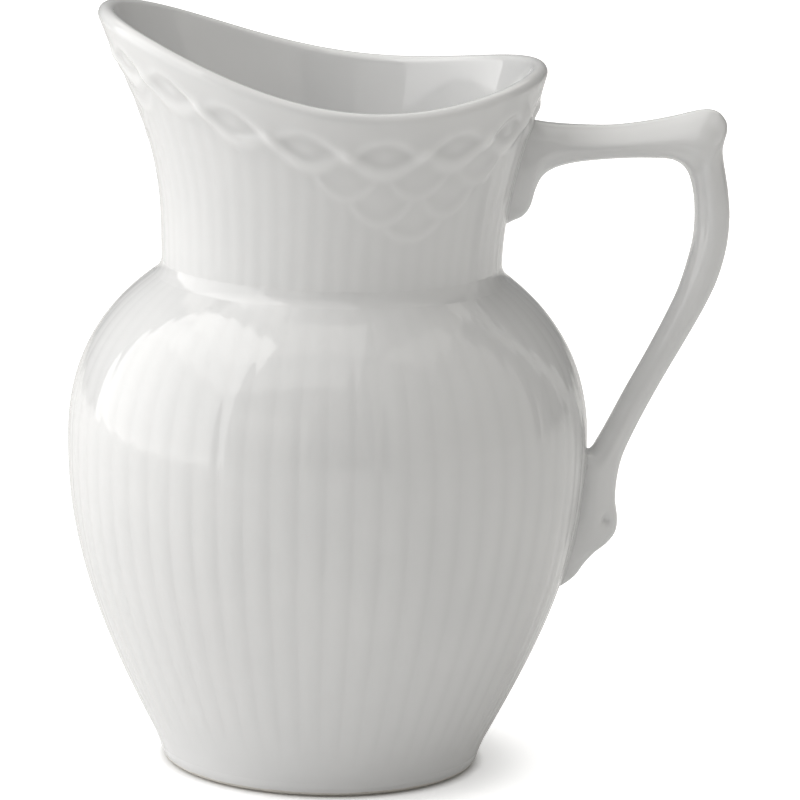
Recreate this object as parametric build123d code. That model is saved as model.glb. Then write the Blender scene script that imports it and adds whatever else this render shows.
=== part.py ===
from build123d import *
import math
import os

# Fluted porcelain pitcher, in millimetres.
# +Z up, +X towards the handle, -X towards the spout; the origin is the centre of the foot's bearing face.

# Foot: a turned ring, bearing on the table, under a short steep wall that ends in a kink
FOOT_BEARING_RADIUS = 27.2
FOOT_INNER_RADIUS = 22.8
FOOT_RING_HEIGHT = 2.6
FOOT_RING_ROUND = 0.9
FOOT_KINK_RADIUS = 28.6
FOOT_KINK_HEIGHT = 4.2

# Belly: the flank leaves the kink along FLANK_RISE and arrives upright at the widest ring
BELLY_RADIUS = 45.0
BELLY_HEIGHT = 58.5
FLANK_RISE = (12.4, 23.6)
FLANK_REACH = 18.0
SHOULDER_REACH = 18.0
SHOULDER_FALL = (3.7, 2.8)

# Neck and mouth: control radii at even steps of height, from the shoulder to the uncut top
NECK_BASE_HEIGHT = 87.0
MOUTH_TOP_HEIGHT = 136.0
SIDE_RADII = (29.3, 29.0, 32.7, 37.6, 38.6)
SPOUT_RADII = (29.3, 29.9, 28.7, 39.8, 42.8)
NECK_SECTIONS = 9

# Rim: control heights at even steps from beyond the spout to beyond the handle's side
RIM_START_X = -42.0
RIM_END_X = 38.0
RIM_HEIGHTS = (132.7, 127.0, 114.1, 119.0, 124.7)
LIP_ROUND = 1.3

# Wall of the casting
WALL = 2.9
FLOOR_HEIGHT = 6.6
FLOOR_ROUND = 6.0

# Handle: its outline in the upright plane through the axis, its width across and its soft edges
HANDLE_WIDTH = 8.6
HANDLE_EDGE_ROUND = 2.1
HANDLE_TOP = [(26.0, 114.6), (37.0, 113.4), (48.0, 113.4), (57.0, 114.9), (63.8, 116.8)]
HANDLE_KNOB = [(66.5, 116.0), (67.5, 113.4), (66.9, 110.2)]
HANDLE_BACK = [(68.3, 99.0), (65.3, 83.6), (56.8, 67.2), (51.0, 54.6), (50.5, 47.0)]
HANDLE_SPUR = (50.9, 42.8)
HANDLE_TAIL = [(49.3, 40.0), (45.4, 36.6), (41.4, 32.2)]
HANDLE_ROOT_X = 30.0
HANDLE_FRONT = [(40.0, 50.0), (46.6, 57.0), (50.3, 65.0), (56.2, 76.6), (61.4, 90.5), (61.8, 101.6)]
HANDLE_CORNER = (57.8, 107.7)
HANDLE_BRACKET = [(46.5, 107.5), (38.4, 105.6), (34.8, 101.8), (32.4, 96.9), (26.0, 94.6)]

# Slip: the thin layers of clay that lute the handle to the wall and the neck to the belly
SLIP_THICKNESS = 0.5


def blend(values, share):
    """Bernstein polynomial through control values, at a share from 0 to 1 of the way along."""
    order = len(values) - 1
    return sum(
        math.comb(order, i) * (1 - share) ** (order - i) * share**i * value
        for i, value in enumerate(values)
    )


def inset_points(points, inset):
    """Control points moved sideways by inset, to the left of the way they run."""
    moved = []
    for i, point in enumerate(points):
        before = Vector(*points[max(i - 1, 0)])
        after = Vector(*points[min(i + 1, len(points) - 1)])
        along = (after - before).normalized()
        moved.append((point[0] - inset * along.Y, point[1] + inset * along.X))
    return moved


def flank_points():
    """Control points from the foot's kink up to the widest ring."""
    return [
        (FOOT_KINK_RADIUS, FOOT_KINK_HEIGHT),
        (FOOT_KINK_RADIUS + FLANK_RISE[0], FOOT_KINK_HEIGHT + FLANK_RISE[1]),
        (BELLY_RADIUS, BELLY_HEIGHT - FLANK_REACH),
        (BELLY_RADIUS, BELLY_HEIGHT),
    ]


def shoulder_points():
    """Control points from the widest ring in to the foot of the neck."""
    return [
        (BELLY_RADIUS, BELLY_HEIGHT),
        (BELLY_RADIUS, BELLY_HEIGHT + SHOULDER_REACH),
        (SIDE_RADII[0] + SHOULDER_FALL[0], NECK_BASE_HEIGHT - SHOULDER_FALL[1]),
        (SIDE_RADII[0], NECK_BASE_HEIGHT),
    ]


def foot_radius(height):
    """Radius of the steep foot wall at a height below the kink."""
    share = height / FOOT_KINK_HEIGHT
    return FOOT_BEARING_RADIUS + share * (FOOT_KINK_RADIUS - FOOT_BEARING_RADIUS)


def revolved(lines):
    """Solid of revolution about Z from lines drawn as radius and height."""
    return revolve(Plane.XZ * make_face(lines), Axis.Z)


def neck_section(height, inset):
    """Oval cross-section of the neck: round at the sides, drawn out towards the spout."""
    share = (height - NECK_BASE_HEIGHT) / (MOUTH_TOP_HEIGHT - NECK_BASE_HEIGHT)
    side = blend(SIDE_RADII, share) - inset
    spout = blend(SPOUT_RADII, share) - inset
    centre = Plane(origin=((side - spout) / 2, 0, height))
    return centre * Ellipse((side + spout) / 2, side)


def neck(inset):
    """Flaring neck and mouth, before the rim is cut."""
    step = (MOUTH_TOP_HEIGHT - NECK_BASE_HEIGHT) / (NECK_SECTIONS - 1)
    return loft([neck_section(NECK_BASE_HEIGHT + k * step, inset) for k in range(NECK_SECTIONS)])


def belly_outside(swell=0.0):
    """Outside of the belly and foot wall, down to the top of the foot ring."""
    flank = inset_points(flank_points(), -swell)
    shoulder = inset_points(shoulder_points(), -swell)
    base = (foot_radius(FOOT_RING_HEIGHT), FOOT_RING_HEIGHT)
    outline = Polyline(shoulder[-1], (0, shoulder[-1][1]), (0, base[1]), base, flank[0])
    return revolved([outline, Bezier(*flank), Bezier(*shoulder)])


def belly_inside():
    """Hollow of the belly, with a flat floor that rounds up into the wall."""
    flank = inset_points(flank_points(), WALL)
    shoulder = inset_points(shoulder_points(), WALL)
    throat = (SIDE_RADII[0] - WALL, NECK_BASE_HEIGHT)
    outline = Polyline(shoulder[-1], throat, (0, throat[1]), (0, flank[0][1]), flank[0])
    hollow = revolved([outline, Bezier(*flank), Bezier(*shoulder)])
    above_floor = Plane(origin=(0, 0, FLOOR_HEIGHT)) * Cylinder(
        2 * BELLY_RADIUS, MOUTH_TOP_HEIGHT, align=(Align.CENTER, Align.CENTER, Align.MIN)
    )
    hollow = hollow & above_floor
    return fillet(hollow.edges().group_by(Axis.Z)[0], FLOOR_ROUND)


def above_rim():
    """Everything above the saddle of the rim."""
    step = (RIM_END_X - RIM_START_X) / (len(RIM_HEIGHTS) - 1)
    crest = [(RIM_START_X + i * step, height) for i, height in enumerate(RIM_HEIGHTS)]
    high = 2 * MOUTH_TOP_HEIGHT
    far_ends = Polyline(crest[-1], (2 * RIM_END_X, crest[-1][1]), (2 * RIM_END_X, high),
                        (2 * RIM_START_X, high), (2 * RIM_START_X, crest[0][1]), crest[0])
    return extrude(Plane.XZ * make_face([Bezier(*crest), far_ends]), 2 * BELLY_RADIUS, both=True)


def neck_and_joint():
    """Neck with its rounded lip, and the ring of slip between it and the belly."""
    shell = neck(0) - neck(WALL) - above_rim()
    lip = shell.edges().filter_by(lambda e: e.bounding_box().min.Z > RIM_HEIGHTS[2])
    shell = fillet(lip, LIP_ROUND)
    seam = Plane(origin=(0, 0, NECK_BASE_HEIGHT)) * Cylinder(
        2 * BELLY_RADIUS, SLIP_THICKNESS, align=(Align.CENTER, Align.CENTER, Align.MIN)
    )
    return shell - seam, shell & seam


def foot_ring():
    """Unglazed ring that the pitcher stands on."""
    section = Plane.XZ * make_face(Polyline(
        (FOOT_INNER_RADIUS, FOOT_RING_HEIGHT), (FOOT_INNER_RADIUS + 1, 0), (FOOT_BEARING_RADIUS, 0),
        (foot_radius(FOOT_RING_HEIGHT), FOOT_RING_HEIGHT), close=True))
    ring = revolve(section, Axis.Z)
    return fillet(ring.edges().group_by(Axis.Z)[0], FOOT_RING_ROUND)


def handle_blank():
    """Handle with both ends running on into the wall."""
    back = [*HANDLE_KNOB, *HANDLE_BACK, HANDLE_SPUR]
    front = [*HANDLE_FRONT, HANDLE_CORNER, *HANDLE_BRACKET]
    tail_root = (HANDLE_ROOT_X, HANDLE_TAIL[-1][1])
    front_root = (HANDLE_ROOT_X, HANDLE_FRONT[0][1])
    outline = [
        Spline(*HANDLE_TOP),
        Spline(HANDLE_TOP[-1], *back),
        Spline(HANDLE_SPUR, *HANDLE_TAIL),
        Polyline(HANDLE_TAIL[-1], tail_root, front_root, HANDLE_FRONT[0]),
        Spline(*front),
        Line(HANDLE_BRACKET[-1], HANDLE_TOP[0]),
    ]
    blank = extrude(Plane.XZ * make_face(outline), HANDLE_WIDTH / 2, both=True)
    return fillet(blank.faces().filter_by(Axis.Y).edges(), HANDLE_EDGE_ROUND)


def handle_and_joints():
    """Handle cut short of the wall, and the two slip layers that fill the gap."""
    blank = handle_blank()
    wall = belly_outside() + neck(0)
    slip_face = belly_outside(SLIP_THICKNESS) + neck(-SLIP_THICKNESS)
    lower_joint, upper_joint = ((blank & slip_face) - wall).solids().sort_by(Axis.Z)
    return blank - slip_face, upper_joint, lower_joint


def main():
    neck_and_spout, neck_joint = neck_and_joint()
    handle, upper_joint, lower_joint = handle_and_joints()
    nodes = {
        "belly": belly_outside() - belly_inside(),
        "neck_and_spout": neck_and_spout,
        "foot_ring": foot_ring(),
        "handle": handle,
        "neck_slip_joint": neck_joint,
        "upper_handle_slip_joint": upper_joint,
        "lower_handle_slip_joint": lower_joint,
    }
    os.makedirs("parts", exist_ok=True)
    for name, shape in nodes.items():
        export_step(shape, f"parts/{name}.step")


main()
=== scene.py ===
import math

import bpy
import numpy as np
from mathutils import Matrix, Vector


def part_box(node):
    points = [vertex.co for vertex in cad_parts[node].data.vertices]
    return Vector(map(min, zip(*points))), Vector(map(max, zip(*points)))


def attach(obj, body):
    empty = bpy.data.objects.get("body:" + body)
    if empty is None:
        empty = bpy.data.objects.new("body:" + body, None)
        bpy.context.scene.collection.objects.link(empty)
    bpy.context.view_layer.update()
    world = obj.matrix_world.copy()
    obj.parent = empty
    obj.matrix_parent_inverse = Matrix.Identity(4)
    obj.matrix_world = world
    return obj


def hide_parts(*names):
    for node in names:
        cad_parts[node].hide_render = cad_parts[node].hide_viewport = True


# Fluted porcelain pitcher. +Z up, +X towards the handle, -X towards the spout, z = 0 on the foot's bearing face.
# The pitcher's own lengths are millimetres in the CAD frame until a mesh is made. Materials, floor and lights are in
# metres.
MM = 0.001
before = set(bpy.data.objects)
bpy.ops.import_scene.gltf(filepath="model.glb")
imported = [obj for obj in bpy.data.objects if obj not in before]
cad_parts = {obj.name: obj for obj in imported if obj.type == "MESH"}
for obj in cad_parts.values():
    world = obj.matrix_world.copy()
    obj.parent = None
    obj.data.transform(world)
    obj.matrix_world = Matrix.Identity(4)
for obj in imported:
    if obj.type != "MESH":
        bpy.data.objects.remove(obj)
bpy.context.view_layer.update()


def highest_corner(node):
    """Highest corner of a CAD node's box, in millimetres."""
    return np.array(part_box(node)[1]) / MM


# ---------------------------------------------------------------- sizes, from the CAD nodes
BELLY_RADIUS = highest_corner("belly")[0]
NECK_BASE = highest_corner("belly")[2]
SEAM_TOP = highest_corner("neck_slip_joint")[2]
RING_TOP = highest_corner("foot_ring")[2]
NECK_RISE = 49.0
MOUTH_TOP = NECK_BASE + NECK_RISE
WALL = 2.9
BELLY_HEIGHT = 58.5
KINK = (28.6, 4.2)
BEARING_RADIUS = 27.2
RING_INNER_RADIUS = 22.8
FLOOR_TOP = 6.6
SIDE_RADII = (29.3, 29.0, 32.7, 37.6, 38.6)
SPOUT_RADII = (29.3, 29.9, 28.7, 39.8, 42.8)
RIM_X = (-42.0, 38.0)
RIM_HEIGHTS = (132.7, 127.0, 114.1, 119.0, 124.7)
THROAT = SIDE_RADII[0] - WALL
FLANK = (KINK, (41.0, 27.8), (BELLY_RADIUS, 40.5), (BELLY_RADIUS, BELLY_HEIGHT))
SHOULDER = (FLANK[-1], (BELLY_RADIUS, 76.5), (33.0, 84.2), (SIDE_RADII[0], NECK_BASE))

# Columns of the wall's meshes
COLUMNS = 720


def bernstein(values, share):
    """Bernstein polynomial through control values."""
    order = len(values) - 1
    return sum(
        math.comb(order, i) * (1 - share) ** (order - i) * share**i * value
        for i, value in enumerate(values)
    )


def smooth(low, high, x):
    """Smooth step from 0 at low to 1 at high."""
    s = np.clip((x - low) / (high - low), 0, 1)
    return s * s * (3 - 2 * s)


# ---------------------------------------------------------------- smooth wall
BEZIER_SHARES = np.linspace(0, 1, 1500)
# The kink above the foot is softened between two heights, by averaging the radius over these shifts of height
KINK_EASE_SPAN = (1.8, 12.0)
KINK_EASE = np.linspace(-1.8, 1.8, 13)
RIM_FIRST_GUESS = 124.0
RIM_PASSES = 30


def bezier_curve(points):
    """Radii and heights along a Bezier curve."""
    return (bernstein([p[0] for p in points], BEZIER_SHARES),
            bernstein([p[1] for p in points], BEZIER_SHARES))


flank_r, flank_z = bezier_curve(FLANK)
shoulder_r, shoulder_z = bezier_curve(SHOULDER)
PROFILE_R = np.concatenate([[BEARING_RADIUS], flank_r, shoulder_r[1:]])
PROFILE_Z = np.concatenate([[0.0], flank_z, shoulder_z[1:]])
ARC = np.concatenate([[0], np.cumsum(np.hypot(np.diff(PROFILE_R), np.diff(PROFILE_Z)))])


def belly_radius(z):
    """Radius of the belly's outside at a height, with the kink above the foot softened."""
    z = np.asarray(z, float)
    lowest, highest = KINK_EASE_SPAN
    eased = sum(np.interp(z + shift, PROFILE_Z, PROFILE_R) for shift in KINK_EASE) / len(KINK_EASE)
    return np.where((z > lowest) & (z < highest), eased, np.interp(z, PROFILE_Z, PROFILE_R))


def level_ring(t, r, z):
    """Points at angles t, radius r and height z."""
    return np.stack([r * np.cos(t), r * np.sin(t), z + 0 * t], -1)


def belly_point(t, z):
    """Point on the belly's smooth wall."""
    return level_ring(t, belly_radius(z), z)


def neck_axes(z):
    """Centre, half length towards the spout and handle, half width of the neck's oval at a height."""
    share = (np.asarray(z, float) - NECK_BASE) / (MOUTH_TOP - NECK_BASE)
    side = bernstein(SIDE_RADII, share)
    spout = bernstein(SPOUT_RADII, share)
    return (side - spout) / 2, (side + spout) / 2, side


def neck_point(t, z, out=0.0):
    """Point on the neck's wall, moved level by out."""
    centre, a, b = neck_axes(z)
    return np.stack([centre + (a + out) * np.cos(t), (b + out) * np.sin(t), z + 0 * t], -1)


def rim_top(t):
    """Height of the lip's crest at oval angle t."""
    z = np.full_like(t, RIM_FIRST_GUESS)
    for _ in range(RIM_PASSES):
        x = neck_point(t, z, -WALL / 2)[..., 0]
        share = (x - RIM_X[0]) / (RIM_X[1] - RIM_X[0])
        z = 0.5 * z + 0.5 * bernstein(RIM_HEIGHTS, share)
    return z


# ---------------------------------------------------------------- relief
# Heights of the raised work in millimetres; depths are below the lip's crest. The twist is counted in cells, from
# crossing to crossing, and is the same on the far side. CELL_AT_BEND is a length along it from the spout, and the
# cell there.
CELL_TABLE_SIZE = 721
CELL_LENGTH = 13.4
CELL_AT_SPOUT = -0.5
CELL_AT_BEND = (87.1, 6.0)
CELL_AT_HANDLE = 8.0

# Plain band above the twist, and how far its lower edge is rounded
BAND = 0.10
BAND_EDGE = 1.2

# Two strands, each swinging about the same line. Pairs are the value on that line and what is added at its lowest.
STRAND_LINE = 7.5
STRAND_SWING = 3.0
STRAND_HEIGHT = 0.28
STRAND_HEIGHT_SHARE = (0.95, 0.25)
STRAND_HALF_WIDTH = (1.35, 0.4)
STRAND_ROUNDNESS = 1.1
STRAND_COVER = (1.05, 0.6)
DIVE_SHARE = 0.85
DIVE_LENGTH = 1.8
NODE_SWELL = 0.48
NODE_RADIUS = 1.55
# The twist changes hand at this cell
HANDED = 4.5

# Sunk lens in each eye of the twist, with a small boss in its middle
LENS_DEPTH = 0.20
LENS_EDGE = (0.3, -0.6)
LENS_ENDS = (6.2, 4.2)
LENS_BOSS = 0.14
BOSS_LENGTH = 1.8
BOSS_WIDTH = 0.8

# Hanging scales: cells of the pendants, and rows of cells across, depth at the sides, at the middle and at the top
PENDANTS = (-0.5, 5.0)
SCALE_ROWS = (
    ((-1.0, 0.0, 1.0), 10.6, 15.9, 9.2),
    ((-0.5, 0.5), 14.9, 20.1, 14.0),
    ((0.0,), 19.4, 23.2, 18.6),
)
SCALE_BLUNTNESS = 0.75
SCALE_BEAD = 0.24
SCALE_BEAD_PLACE = 0.85
SCALE_BEAD_WIDTH = 0.95
SCALE_DISH = -0.05
SCALE_DISH_RISE = 0.10
SCALE_DISH_SPAN = (1.0, 5.0)
SCALE_EDGE = 0.25
SCALE_TOP_FADE = 0.8
# Stands for any place beside a scale
OUTSIDE_SCALE = -9.0

# Flutes all round, their height on the neck and by height on the belly, and the mean of their form
FLUTES = 60
FLUTE_SHARPNESS = 1.1
FLUTE_MEAN = 0.62
NECK_FLUTE = 0.06
BELLY_FLUTE_Z = (5.0, 9.0, 12.0, 25.0, 35.0, 45.0, 52.0, 58.0, 65.0, 72.0, 76.0, 80.0, 86.0)
BELLY_FLUTE = (0.0, 0.03, 0.055, 0.062, 0.083, 0.111, 0.092, 0.075, 0.068, 0.053, 0.038, 0.028, 0.02)

# Slow waves of the cast wall: share, waves round it, change with height, start
WAVER_HEIGHT = 0.02
WAVES = ((1.0, 3, 0.07, 0.4), (1.0, 5, -0.11, 2.1), (0.7, 2, 0.19, 4.0), (0.6, 7, 0.16, 1.2))

# The neck's relief is worked out as a raster over turn and depth. GLAZE_FILL and GLAZE_LEVEL are how far the glaze
# softens it, and how far it would if it lay level. Their difference is the pooled glaze, which greys the recesses
# partly as painted shade and lightens raised parts as painted light.
RASTER_TURNS = 2400
RASTER_STEP = 0.1
RASTER_DEPTH = 44.0
RASTER_GIRTH = 225.0
GLAZE_FILL = 0.42
GLAZE_LEVEL = 1.5


def cell_table():
    """Turns from the spout to the handle, and the cell of the twist at each, evenly along its slope."""
    turn = np.linspace(0, math.pi, CELL_TABLE_SIZE)
    line = neck_point(turn + math.pi, rim_top(turn + math.pi) - STRAND_LINE)
    step = np.linalg.norm(np.diff(line, axis=0), axis=1)
    length = np.concatenate([[0], np.cumsum(step)])
    cell = np.interp(length, (0, CELL_AT_BEND[0], length[-1]), (CELL_AT_SPOUT, CELL_AT_BEND[1], CELL_AT_HANDLE))
    return turn, cell


CELL_TURNS, CELL_NUMBERS = cell_table()


def cell_of(turn):
    """Place along the twist, in cells, at a turn from the spout; both sides alike."""
    folded = np.abs((turn + math.pi) % (2 * math.pi) - math.pi)
    return np.interp(folded, CELL_TURNS, CELL_NUMBERS)


def flute(turn):
    """Convex ribs with narrow valleys, 0 to 1, round the whole wall."""
    return np.abs(np.sin(turn * FLUTES / 2)) ** FLUTE_SHARPNESS


def strand(w, d, phase):
    """One strand of the twist: its height, how far from its middle a point is, and its slope."""
    drop = STRAND_SWING * phase * np.sin(np.pi * w)
    slope = phase * np.cos(np.pi * w) * STRAND_SWING * np.pi / CELL_LENGTH
    half_width = STRAND_HALF_WIDTH[0] + STRAND_HALF_WIDTH[1] * drop / STRAND_SWING
    away = np.abs(d - STRAND_LINE - drop) / np.sqrt(1 + slope**2) / half_width
    body = np.cos(np.pi / 2 * np.clip(away, 0, 1)) ** STRAND_ROUNDNESS
    share = STRAND_HEIGHT_SHARE[0] + STRAND_HEIGHT_SHARE[1] * drop / STRAND_SWING
    return STRAND_HEIGHT * share * body, away, slope


def scale_edge(v, side, centre):
    """Lower edge of a hanging scale, v from -0.5 to 0.5 across it."""
    return side + (centre - side) * np.clip(np.cos(np.pi * v), 0, 1) ** SCALE_BLUNTNESS


def laid_over(height, layer, cover):
    """A relief with another layer in its place where cover is 1."""
    return height * (1 - cover) + layer * cover


def with_scales(height, w, d):
    """Hanging scales laid over a relief, the lowest row first and each row over the one below it."""
    for offsets, side, centre, top in reversed(SCALE_ROWS):
        for pendant in PENDANTS:
            for offset in offsets:
                v = w - pendant - offset
                inside = np.where(np.abs(v) < 0.5, scale_edge(v, side, centre) - d, OUTSIDE_SCALE)
                bead = SCALE_BEAD * np.exp(-(((inside - SCALE_BEAD_PLACE) / SCALE_BEAD_WIDTH) ** 2))
                dish = SCALE_DISH + SCALE_DISH_RISE * smooth(*SCALE_DISH_SPAN, inside)
                cover = smooth(-SCALE_EDGE, SCALE_EDGE, inside) * smooth(top - SCALE_TOP_FADE, top, d)
                height = laid_over(height, bead + dish, cover)
    return height


def sharp_relief(turn, d):
    """Raised work on the neck as it was modelled, before the glaze softens it."""
    w = cell_of(turn)
    swing = STRAND_SWING * np.abs(np.sin(np.pi * w))
    height = with_scales(NECK_FLUTE * flute(turn) + 0 * d, w, d)

    above = smooth(STRAND_LINE + BAND_EDGE, STRAND_LINE - BAND_EDGE, d + swing)
    height = laid_over(height, BAND, above)

    from_middle = (w - np.floor(w) - 0.5) * CELL_LENGTH
    lens = smooth(*LENS_EDGE, np.abs(d - STRAND_LINE) - swing) * smooth(*LENS_ENDS, np.abs(from_middle))
    boss = LENS_BOSS * np.exp(-((from_middle / BOSS_LENGTH) ** 2) - ((d - STRAND_LINE) / BOSS_WIDTH) ** 2)
    height = laid_over(height, boss - LENS_DEPTH, lens)

    # At each crossing one strand lies on top and the other dives under it
    first, away_first, slope_first = strand(w, d, 1.0)
    second, away_second, _ = strand(w, d, -1.0)
    from_node = (w - np.round(w)) * CELL_LENGTH
    under = 1.0 - DIVE_SHARE * np.exp(-((from_node / DIVE_LENGTH) ** 2))
    cover_first, cover_second = smooth(*STRAND_COVER, away_first), smooth(*STRAND_COVER, away_second)
    first_over = np.where(w < HANDED, slope_first > 0, slope_first < 0)
    height = laid_over(height, np.where(first_over, second, first) * under,
                       np.where(first_over, cover_second, cover_first))
    height = laid_over(height, np.where(first_over, first, second),
                       np.where(first_over, cover_first, cover_second))
    node = np.exp(-((from_node**2 + (d - STRAND_LINE) ** 2) / NODE_RADIUS**2))
    return height + NODE_SWELL * node


def blurred(raised, spread):
    """A raster of the neck's relief, softened over spread millimetres."""
    mirrored = np.concatenate([raised, raised[::-1]])
    across = np.fft.fftfreq(RASTER_TURNS, RASTER_GIRTH / RASTER_TURNS)
    down = np.fft.fftfreq(len(mirrored), RASTER_STEP)
    keep = np.exp(-2 * (math.pi * spread) ** 2 * (across[None, :] ** 2 + down[:, None] ** 2))
    return np.fft.ifft2(np.fft.fft2(mirrored) * keep).real[:len(raised)]


def neck_rasters():
    """Relief over turn and depth with its corners filled by the glaze, and how deep the glaze lies pooled on it,
    which also paints shade into the recesses and light onto raised parts.
    """
    turn = np.arange(RASTER_TURNS) * 2 * math.pi / RASTER_TURNS
    depth = np.arange(0, RASTER_DEPTH, RASTER_STEP)
    raised = sharp_relief(turn[None, :], depth[:, None])
    filled = blurred(raised, GLAZE_FILL)
    return filled, blurred(raised, GLAZE_LEVEL) - filled


RELIEF_RASTER, POOL_AND_SHADE_RASTER = neck_rasters()


def looked_up(raster, turn, d):
    """Value of a raster at turn radians from the spout, d below the lip's crest."""
    c = (turn / (2 * math.pi) % 1.0) * RASTER_TURNS
    r = np.clip(d / RASTER_STEP, 0, len(raster) - 1.001)
    c0, r0 = np.floor(c).astype(int), np.floor(r).astype(int)
    fc, fr = c - c0, r - r0
    c0, c1 = c0 % RASTER_TURNS, (c0 + 1) % RASTER_TURNS
    upper = raster[r0, c0] * (1 - fc) + raster[r0, c1] * fc
    lower = raster[r0 + 1, c0] * (1 - fc) + raster[r0 + 1, c1] * fc
    return upper * (1 - fr) + lower * fr


def neck_relief(turn, d):
    """Relief on the neck at turn radians from the spout, d below the lip's crest."""
    return looked_up(RELIEF_RASTER, turn, d)


def belly_relief(turn, z):
    """Flutes on the belly, fading below the neck and above the foot."""
    return np.interp(z, BELLY_FLUTE_Z, BELLY_FLUTE) * flute(turn)


def waver(turn, z):
    """Slow unevenness of a cast and fired wall."""
    return WAVER_HEIGHT * sum(
        share * np.sin(waves * turn + climb * z + start) for share, waves, climb, start in WAVES
    )


def turn_of(t):
    """Turn from the spout, through the near side, of oval angle t."""
    return t - math.pi


# ---------------------------------------------------------------- meshes
# Steps for slopes taken by difference: radians and millimetres
TURN_STEP = 1e-3
HEIGHT_STEP = 0.05
# How far a hidden edge is sunk into its neighbour
SUNK = 0.04
ANGLES = np.arange(COLUMNS) * 2 * math.pi / COLUMNS


def make_mesh(name, points, faces):
    """Smooth-shaded piece from points in millimetres."""
    mesh = bpy.data.meshes.new(name)
    mesh.from_pydata((np.asarray(points) * MM).tolist(), [], faces)
    mesh.validate()
    mesh.polygons.foreach_set("use_smooth", [True] * len(mesh.polygons))
    mesh.update()
    piece = bpy.data.objects.new(name, mesh)
    bpy.context.scene.collection.objects.link(piece)
    return piece


def paint_pool_and_shade(piece, depths):
    """Marks at each vertex how deep the glaze has pooled, in millimetres, negative where it has run thin. The glaze
    material
    greys the colour with it: partly the real greying of thick glaze, partly painted shade in recesses and at joints,
    and painted light where it is negative on raised parts.
    """
    values = np.zeros(len(piece.data.vertices))
    values[:len(depths)] = depths
    piece.data.attributes.new("glaze_pool_and_shade", "FLOAT", "POINT").data.foreach_set("value", values.astype(np.float32))


def grid_faces(rows, columns, wrap_rows=False):
    """Quads of a grid that closes on itself along its columns, and along its rows if wrap_rows."""
    faces = []
    for r in range(rows if wrap_rows else rows - 1):
        base, up = r * columns, ((r + 1) % rows) * columns
        for c in range(columns):
            d = (c + 1) % columns
            faces.append((base + c, base + d, up + d, up + c))
    return faces


def displaced(surface, t, s, lift):
    """surface(t, s) moved along its outward normal by lift."""
    along = surface(t + TURN_STEP, s) - surface(t - TURN_STEP, s)
    up = surface(t, s + HEIGHT_STEP) - surface(t, s - HEIGHT_STEP)
    normal = np.cross(along, up)
    normal /= np.linalg.norm(normal, axis=-1, keepdims=True)
    return surface(t, s) + lift[..., None] * normal


def neck_wall(t, z):
    """Outside of the neck with its relief."""
    turn = turn_of(t)
    depth = rim_top(t) - z
    return displaced(neck_point, t, z, neck_relief(turn, depth) + waver(turn, z))


# Rows of the neck: below and above this depth outside, over the lip, and inside, crowded towards the lip
NECK_FINE_DEPTH = 25.0
NECK_COARSE_ROWS = 26
NECK_FINE_ROWS = 80
LIP_ROWS = 14
NECK_INSIDE_ROWS = 16
NECK_INSIDE_CROWDING = 1.4
# The wall's lean at the lip is taken over this drop
LEAN_DROP = 3.0
# The relief fades over the lip, and the inside wavers less than the outside
LIP_RELIEF_REACH = 0.25
LIP_RELIEF_FADE = 0.5
INSIDE_WAVER = 0.3


def build_neck():
    """Neck, spout and rounded lip, with the twist, hanging scales and flutes raised on the outside."""
    t = ANGLES
    turn = turn_of(t)
    crest = rim_top(t)
    lean = neck_point(t, crest)[..., :2] - neck_point(t, crest - LEAN_DROP)[..., :2]
    outward = np.stack([np.cos(t), np.sin(t)], -1)
    slope = np.arctan2((lean * outward).sum(-1), LEAN_DROP)
    radius = WALL / 2 * np.cos(slope)
    middle = crest - radius
    start = middle - radius * np.sin(slope)
    line = crest - NECK_FINE_DEPTH
    shares = np.linspace(0, 1, NECK_COARSE_ROWS, endpoint=False)
    heights = [SEAM_TOP + share * (line - SEAM_TOP) for share in shares]
    heights += [line + share * (start - line) for share in np.linspace(0, 1, NECK_FINE_ROWS)]
    rows = [neck_wall(t, z) for z in heights]
    # Pooled glaze: greys the recesses, partly as painted shade, and lightens raised parts as painted light
    pools_and_shade = [looked_up(POOL_AND_SHADE_RASTER, turn, crest - z) for z in heights]
    band = neck_relief(turn, crest - start) + waver(turn, start)
    core = neck_point(t, middle, -WALL / 2)
    for share in np.linspace(0, 1, LIP_ROWS)[1:-1]:
        phi = share * math.pi - slope
        raised = band * np.clip(np.cos(phi) + LIP_RELIEF_REACH, 0, 1) * (1 - share) ** LIP_RELIEF_FADE
        swell = radius + raised
        rows.append(core + level_ring(t, swell * np.cos(phi), swell * np.sin(phi)))
    top_inside = middle + radius * np.sin(slope)
    for share in np.linspace(0, 1, NECK_INSIDE_ROWS) ** NECK_INSIDE_CROWDING:
        z = top_inside + share * (SEAM_TOP - top_inside)
        rows.append(neck_point(t, z, -WALL + INSIDE_WAVER * waver(turn, z)))
    piece = make_mesh("neck_and_spout_fluted", np.concatenate(rows), grid_faces(len(rows), COLUMNS, wrap_rows=True))
    paint_pool_and_shade(piece, np.concatenate(pools_and_shade))
    return piece


def arc_rows(z_low, z_high, count):
    """Heights spaced evenly along the outside profile."""
    a, b = np.interp([z_low, z_high], PROFILE_Z, ARC)
    return np.interp(np.linspace(a, b, count), ARC, PROFILE_Z)


# Heights of the belly's lowest rows, where its even rows start and how many there are
FOOT_WALL_Z = (RING_TOP - 0.4, RING_TOP, 3.1, 3.6, 4.1, 4.7)
BELLY_EVEN_START = 5.3
BELLY_ROWS = 76
# The wall's unevenness fades out towards the foot and the neck
WAVER_FOOT = (3.0, 12.0)
WAVER_NECK = (87.0, 82.0)
# Hollow: the rows of its wall, the height above the floor where its rounded corner starts, and the corner's reach
INSIDE_ROWS = 26
CORNER_RISE = 6.0
CORNER_ROWS = 9
CORNER_REACH = 7.0
CORNER_DRAW = 2.0
# Hollow's mouth, slightly wider just below the seam
MOUTH_STEP = (0.05, 0.7)
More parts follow.
